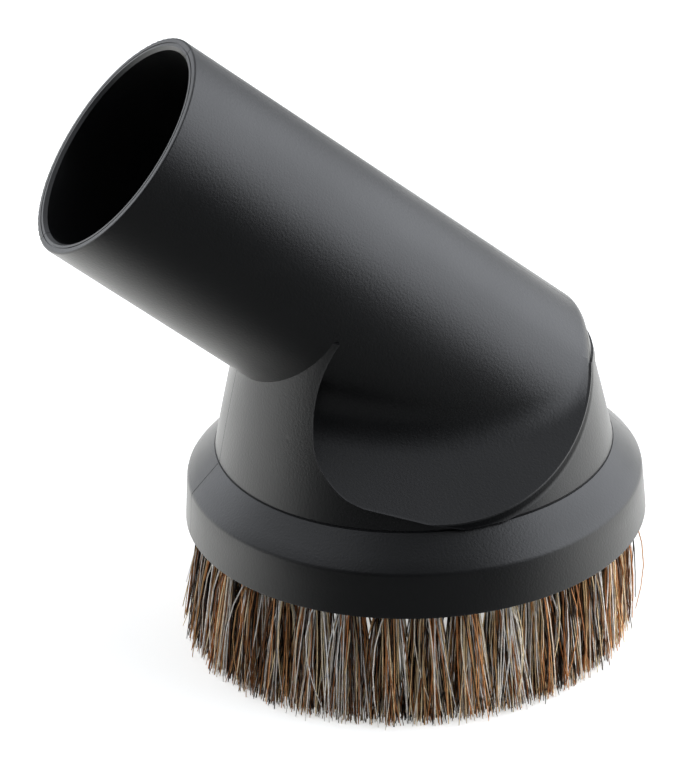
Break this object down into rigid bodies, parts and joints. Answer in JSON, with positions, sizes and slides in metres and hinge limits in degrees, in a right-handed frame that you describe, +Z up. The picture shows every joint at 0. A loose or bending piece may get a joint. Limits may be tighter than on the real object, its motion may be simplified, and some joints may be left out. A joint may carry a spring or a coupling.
{
  "type": "vacuum dusting brush",
  "caption": "Round dusting brush for a vacuum cleaner, with a sloping push-on socket tube, two finger scoops and a ring of natural hair tufts.",
  "frame": {"origin": "on the plane of the hair tips, under the middle of the whole part's box; the head's axis is the vertical line at X = 10.8 mm", "axes": "+Z up from the hair tips along the head's axis, -X the side the tube rises to, XZ the plane of symmetry"},
  "size_m": [0.0965, 0.075, 0.1053],
  "materials": {
    "body_plastic": "fine moulded grain",
    "ring_plastic": "smooth moulded",
    "hair": "mixed brown, tan and grey horse hair",
    "anchor_metal": "bare strip"
  },
  "bodies": {
    "root": {"brush_body": "body_plastic", "bristle_ring": "ring_plastic", "tuft_01": "hair", "tuft_02": "hair", "tuft_03": "hair", "tuft_04": "hair", "tuft_05": "hair", "tuft_06": "hair", "tuft_07": "hair", "tuft_08": "hair", "tuft_09": "hair", "tuft_10": "hair", "tuft_11": "hair", "tuft_12": "hair", "tuft_13": "hair", "tuft_14": "hair", "tuft_15": "hair", "tuft_16": "hair", "tuft_17": "hair", "tuft_18": "hair", "tuft_19": "hair", "tuft_20": "hair", "tuft_21": "hair", "tuft_22": "hair", "tuft_23": "hair", "tuft_24": "hair", "tuft_25": "hair", "tuft_26": "hair", "tuft_27": "hair", "tuft_28": "hair", "tuft_29": "hair", "tuft_30": "hair", "tuft_31": "hair", "tuft_32": "hair", "tuft_33": "hair", "tuft_34": "hair", "tuft_anchors": "anchor_metal"}
  },
  "joints": []
}
